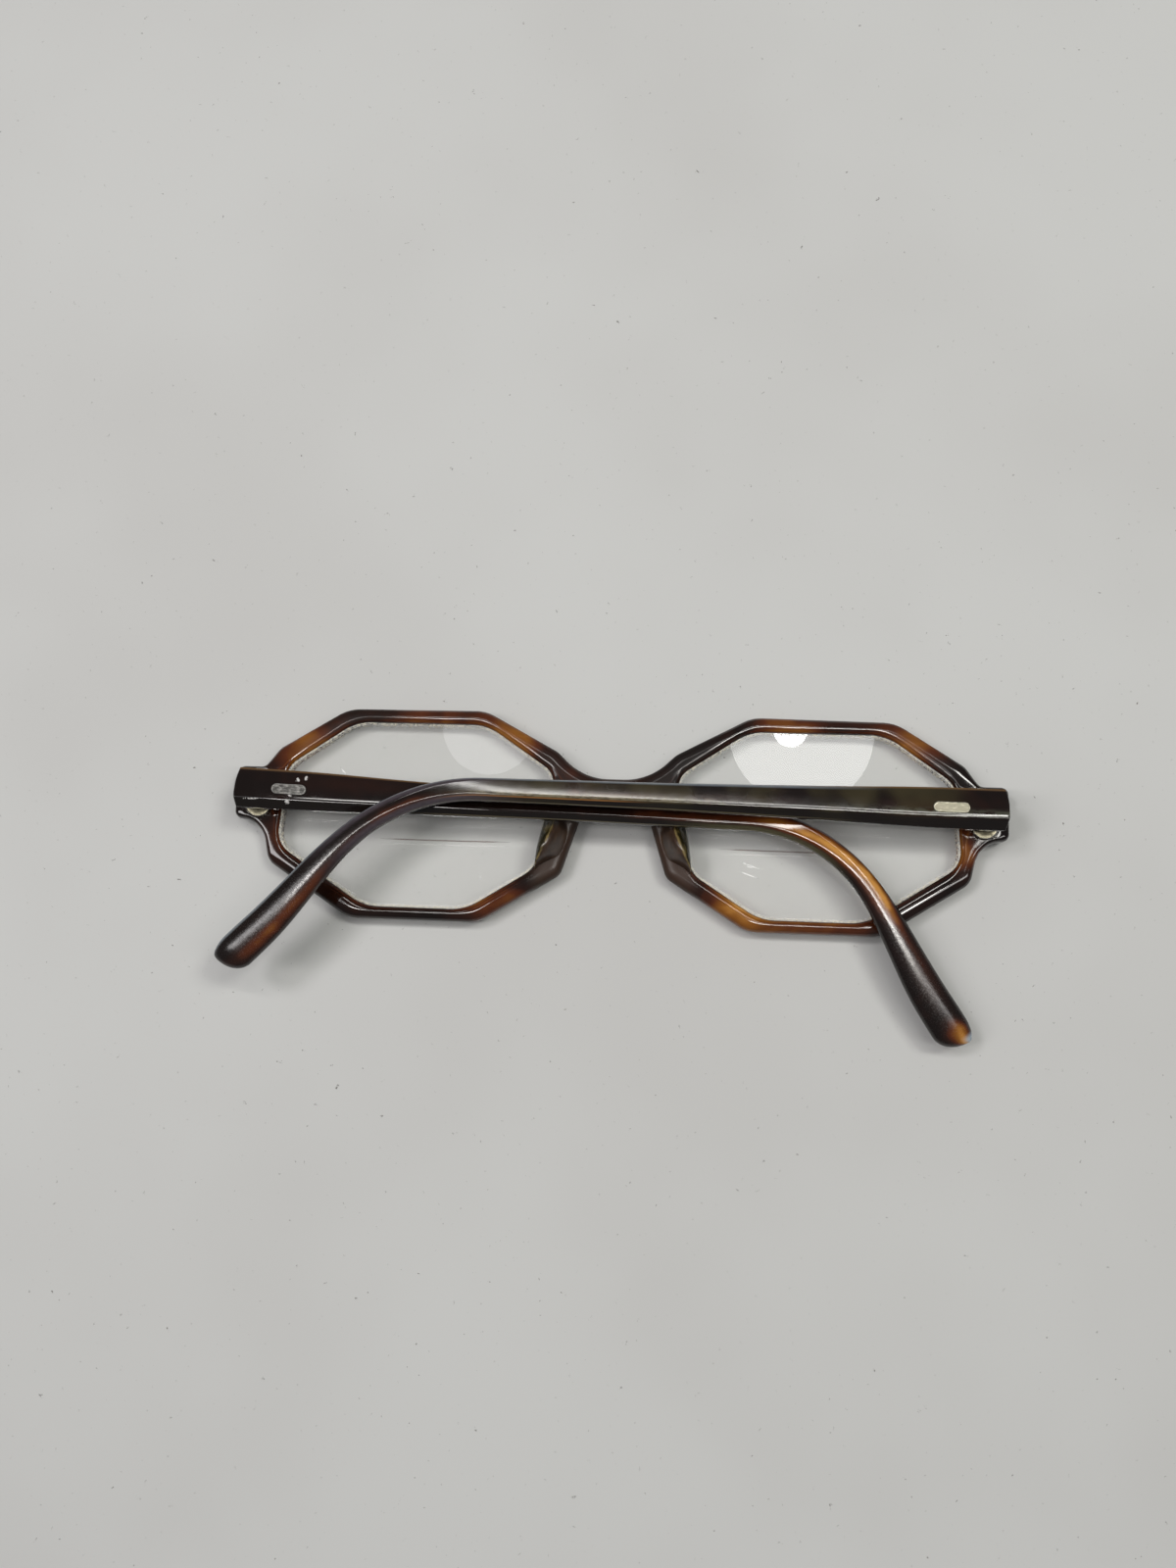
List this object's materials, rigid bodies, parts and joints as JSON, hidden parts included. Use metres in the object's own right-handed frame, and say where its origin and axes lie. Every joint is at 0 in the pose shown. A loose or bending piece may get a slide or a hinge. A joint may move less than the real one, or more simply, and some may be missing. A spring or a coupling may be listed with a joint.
{
  "type": "octagonal eyeglasses",
  "caption": "Octagonal acetate eyeglasses with a saddle bridge, bifocal lenses and straight temples that fold flat behind the rims.",
  "frame": {"origin": "on the front face at the middle of the bridge, which is the middle between the saddle's top and the nose arch", "axes": "+X across the front towards the wearer's right, +Y up as worn, +Z from the front face towards the wearer"},
  "size_m": [0.13, 0.0531, 0.0137],
  "materials": {
    "front_acetate": "polished tortoiseshell acetate",
    "temple_acetate": "polished tortoiseshell acetate",
    "pad_acetate": "polished translucent acetate",
    "lens_glass": "clear polished glass",
    "hinge_metal": "satin nickel silver",
    "screw_metal": "machined",
    "shield_metal": "worn satin nickel silver",
    "core_metal": "drawn wire"
  },
  "bodies": {
    "front": {"frame_front": "front_acetate", "nose_pad_left": "pad_acetate", "nose_pad_right": "pad_acetate", "lens_left": "lens_glass", "lens_right": "lens_glass", "front_hinge_left": "hinge_metal", "front_hinge_right": "hinge_metal", "hinge_screw_left": "screw_metal", "hinge_screw_right": "screw_metal"},
    "left_temple": {"temple_left": "temple_acetate", "temple_hinge_left": "hinge_metal", "temple_shield_left": "shield_metal", "temple_core_left": "core_metal"},
    "right_temple": {"temple_right": "temple_acetate", "temple_hinge_right": "hinge_metal", "temple_shield_right": "shield_metal", "temple_core_right": "core_metal"}
  },
  "joints": [
    {"name": "left_temple_fold", "type": "hinge", "parent": "front", "child": "left_temple", "pos_m": [-0.0608, -0.002, 0.00675], "axis": [0, -1, 0], "range_deg": [0, 91.5]},
    {"name": "right_temple_fold", "type": "hinge", "parent": "front", "child": "right_temple", "pos_m": [0.0608, -0.002, 0.00675], "axis": [0, 1, 0], "range_deg": [0, 88.4]}
  ]
}
